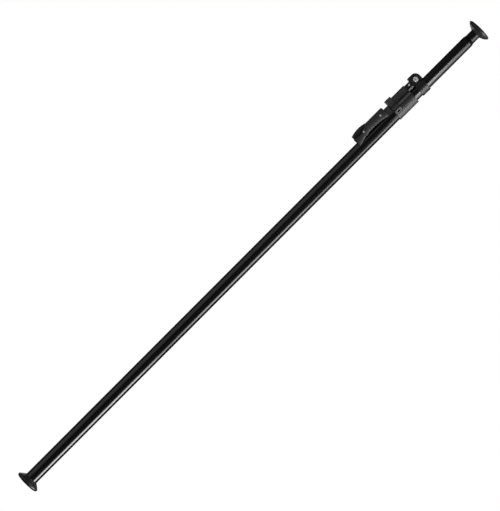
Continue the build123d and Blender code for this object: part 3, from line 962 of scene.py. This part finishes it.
@dataclass
class ClampSet:
    """Collar, housing, release slide and the carriage with its clamp ring."""

    collar_finish: Finish
    ring_finish: Finish
    housing_finish: Finish
    rail_finish: Finish
    slide_finish: Finish
    link_finish: Finish
    bolt_finish: Finish
    bar_finish: Finish

    def dress(self) -> None:
        """Give the clamp's pieces their finishes."""
        dress("main_collar", self.collar_finish.material())
        dress("clamp_ring", self.ring_finish.material())
        dress("housing_cover", self.housing_finish.material())
        rails = self.rail_finish.material()
        for node in ("housing_rail_near", "housing_rail_far"):
            dress(node, rails)
        dress("release_slide", self.slide_finish.material())
        dress("link_block", self.link_finish.material())
        bolts = self.bolt_finish.material()
        for node in ("pinch_bolt", "pinch_washer", "pinch_nut", "link_screw"):
            dress(node, bolts)
        dress("push_bar", self.bar_finish.material())


# ------------------------------------------------------------------ studio
@dataclass(frozen=True)
class SoftBox:
    """A rectangular studio light, aimed at a point on the bar's axis.

    bearing_deg turns from straight in front of the lever's side (-Y) towards below (-Z).
    """

    name: str
    bearing_deg: float
    spread_deg: float
    distance: float
    start: float
    end: float
    radiance: float

    def build(self) -> bpy.types.Object:
        """Make the light.

        Returns:
            The light's object.
        """
        angle = math.radians(self.bearing_deg)
        away = Vector((0.0, -math.cos(angle), -math.sin(angle)))
        length = self.end - self.start
        width = 2 * self.distance * math.tan(math.radians(self.spread_deg) / 2)
        data = bpy.data.lights.new(self.name, "AREA")
        data.shape = "RECTANGLE"
        data.size = length
        data.size_y = width
        data.energy = self.radiance * math.pi * length * width
        lamp = bpy.data.objects.new(self.name, data)
        lamp.visible_camera = False
        along_bar = Vector((1.0, 0.0, 0.0))
        turn = Matrix((along_bar, away.cross(along_bar), away)).transposed()
        middle = Vector(((self.start + self.end) / 2, 0.0, 0.0))
        place = Matrix.Translation(middle + away * self.distance)
        lamp.matrix_world = place @ turn.to_4x4()
        bpy.context.scene.collection.objects.link(lamp)
        LOG.info("lit %s", self.name)
        return lamp


@dataclass
class Studio:
    """Pale floor, white surround and soft boxes."""

    boxes: tuple[SoftBox, ...]
    floor_drop: float = 3.4
    floor_size: float = 24.0
    floor_centre_x: float = 1.08
    surround_light: float = 0.05
    floor_glow: float = 0.95

    def build(self) -> None:
        """Make the surround, the floor and the lights."""
        self.surround()
        self.floor()
        for box in self.boxes:
            box.build()
        view = bpy.context.scene.view_settings
        view.view_transform = "Standard"
        view.look = "None"

    def surround(self) -> None:
        """White to look at, and dim as a light, like a cyclorama lit apart from the object."""
        world = bpy.data.worlds.new("white_surround")
        bpy.context.scene.world = world
        world.use_nodes = True
        tree = world.node_tree
        tree.nodes.clear()
        seen = add_node(tree, "ShaderNodeLightPath").outputs["Is Camera Ray"]
        dim = add_node(
            tree, "ShaderNodeBackground",
            inputs={"Color": (1, 1, 1, 1), "Strength": self.surround_light},
        ).outputs[0]
        white = add_node(
            tree, "ShaderNodeBackground", inputs={"Color": (1, 1, 1, 1), "Strength": 1.0}
        ).outputs[0]
        mix = add_node(tree, "ShaderNodeMixShader", links={0: seen, 1: dim, 2: white})
        add_node(tree, "ShaderNodeOutputWorld", links={"Surface": mix.outputs[0]})

    def floor(self) -> None:
        """A pale painted floor, well below the bar and out of its reflections."""
        half = self.floor_size / 2
        mesh = bpy.data.meshes.new("studio_floor")
        corners = [(-half, -half), (half, -half), (half, half), (-half, half)]
        mesh.from_pydata(
            [(x + self.floor_centre_x, y, -self.floor_drop) for x, y in corners], [], [(0, 1, 2, 3)]
        )
        floor = bpy.data.objects.new("studio_floor", mesh)
        bpy.context.scene.collection.objects.link(floor)
        material, tree = new_material("pale_floor_paint")
        # Matt floor paint, lit from within so that it reads as an even white sweep.
        shader = add_node(
            tree, "ShaderNodeBsdfPrincipled",
            inputs={
                "Base Color": linear("#EDEDED"), "Roughness": 0.9,
                "Emission Color": linear("#FFFFFF"), "Emission Strength": self.floor_glow,
            },
        )
        close_material(tree, shader)
        mesh.materials.append(material)
        floor.visible_glossy = False
        floor.visible_diffuse = False


@dataclass(frozen=True)
class ProductCamera:
    """Long lens square to the bar's side, rolled so that the bar climbs to the right."""

    centre_x: float = 1.0443
    centre_z: float = 0.0092
    distance: float = 9.0
    field_height: float = 1.6684
    roll_deg: float = 45.034
    sensor_mm: float = 36.0
    clip_end: float = 200.0

    def build(self) -> bpy.types.Object:
        """Make the camera and use it.

        Returns:
            The camera's object.
        """
        data = bpy.data.cameras.new("product_camera")
        data.sensor_width = self.sensor_mm
        data.lens = self.sensor_mm * self.distance / self.field_height
        data.clip_end = self.clip_end
        camera = bpy.data.objects.new("product_camera", data)
        roll = math.radians(self.roll_deg)
        right = Vector((math.cos(roll), 0.0, -math.sin(roll)))
        up = Vector((math.sin(roll), 0.0, math.cos(roll)))
        turn = Matrix((right, up, right.cross(up))).transposed()
        place = Matrix.Translation((self.centre_x, -self.distance, self.centre_z))
        camera.matrix_world = place @ turn.to_4x4()
        bpy.context.scene.collection.objects.link(camera)
        bpy.context.scene.camera = camera
        return camera


# ------------------------------------------------------------------ the whole model
def make_camera_and_studio() -> None:
    """Make the camera, then the studio around the bar."""
    ProductCamera().build()
    Studio(boxes=(
        SoftBox("key_fixed_end", bearing_deg=74, spread_deg=28, distance=KEY_DISTANCE,
                start=-0.62, end=0.46, radiance=14.5),
        SoftBox("key_middle", bearing_deg=73, spread_deg=26, distance=KEY_DISTANCE,
                start=0.6, end=1.41, radiance=9.0),
        SoftBox("key_lever", bearing_deg=76, spread_deg=24, distance=NEAR_DISTANCE,
                start=1.421, end=1.766, radiance=5.2),
        SoftBox("key_collar", bearing_deg=66, spread_deg=54, distance=NEAR_DISTANCE,
                start=1.797, end=1.877, radiance=7.4),
        SoftBox("key_ring", bearing_deg=45, spread_deg=34, distance=NEAR_DISTANCE,
                start=1.883, end=1.965, radiance=20.0),
        SoftBox("key_inner_tube", bearing_deg=52, spread_deg=28, distance=NEAR_DISTANCE,
                start=1.965, end=2.1, radiance=7.0),
        SoftBox("key_pad", bearing_deg=55, spread_deg=28, distance=NEAR_DISTANCE,
                start=2.1, end=2.43, radiance=2.4),
        SoftBox("key_moving_end", bearing_deg=80, spread_deg=30, distance=KEY_DISTANCE,
                start=1.99, end=2.9, radiance=3.0),
        SoftBox("fill_above", bearing_deg=-62, spread_deg=58, distance=FILL_DISTANCE,
                start=-1.3, end=1.9, radiance=0.6),
        SoftBox("fill_moving_end", bearing_deg=-62, spread_deg=58, distance=FILL_DISTANCE,
                start=1.9, end=3.2, radiance=0.04),
        SoftBox("fill_behind", bearing_deg=-168, spread_deg=22, distance=FILL_DISTANCE,
                start=-1.3, end=3.2, radiance=1.6),
    )).build()


def make_bar() -> None:
    """Dress every carried-over node and build the pieces that replace plain solids."""
    TubeSet(
        outer_finish=PowderCoat(
            "gloss_powder_coat_outer", "#0B0B0C", "#101011", Sheen.GLOSS, rub_stretch=6.0
        ),
        inner_finish=PowderCoat(
            "gloss_powder_coat_inner", "#0A0A0B", "#101011", Sheen.SEMI, rub_stretch=8.0
        ),
        neck_finish=PowderCoat("satin_powder_coat_neck", "#060606", "#0B0B0C", Sheen.SEMI),
        bush_finish=FilledNylon("grey_nylon_bush", "#3A3A3A"),
    ).dress()
    rubber = MouldedRubber()
    RubberPad(
        "fixed_pad_rubber", "fixed_pad", "outer", rim=12.0, back=26.0, lip_radius=22.8,
        faces_plus_x=False, swell=0.6,
    ).build(rubber)
    RubberPad(
        "moving_pad_rubber", "moving_pad", "inner", rim=9.5, back=24.0, lip_radius=18.2,
        faces_plus_x=True, swell=3.5, rim_round=6.5,
    ).build(rubber)
    LeverSet(
        lever_finish=PowderCoat(
            "satin_powder_coat_lever", "#1D1D1E", "#262627", Sheen.EGGSHELL, rub_mm=22.0
        ),
        catch_finish=FilledNylon("black_nylon_catch", "#161616"),
        bracket_finish=CastSatin("black_bracket_casting", "#1C1C1D", "#252526", 0.5),
        pin_finish=ZincFlake("zinc_flake_pins", "#B4B6B6", "#8E9192"),
    ).dress()
    ClampSet(
        collar_finish=CastSatin("satin_collar_casting", "#262628", "#333335", 0.5),
        ring_finish=CastSatin("satin_ring_casting", "#0F0F10", "#18181A", 0.43),
        housing_finish=PowderCoat(
            "matte_powder_coat_housing", "#212122", "#2B2B2C", Sheen.EGGSHELL, rub_mm=18.0
        ),
        rail_finish=CastSatin("black_rail_casting", "#1C1C1D", "#272728", 0.5),
        slide_finish=PowderCoat(
            "matte_powder_coat_slide", "#2A2A2B", "#353536", Sheen.EGGSHELL, rub_mm=16.0
        ),
        link_finish=PowderCoat(
            "satin_powder_coat_link", "#171718", "#202021", Sheen.SATIN, rub_mm=14.0
        ),
        bolt_finish=ZincFlake("zinc_flake_bolts"),
        bar_finish=ZincSteel("dull_zinc_push_bar", "#8E9093", "#6C6E71", 0.42),
    ).dress()


def main() -> None:
    """Build the studio and the bar, and report each piece."""
    logging.basicConfig(level=logging.INFO, format="%(name)s: %(message)s")
    make_camera_and_studio()
    make_bar()


if __name__ == "__main__":
    main()
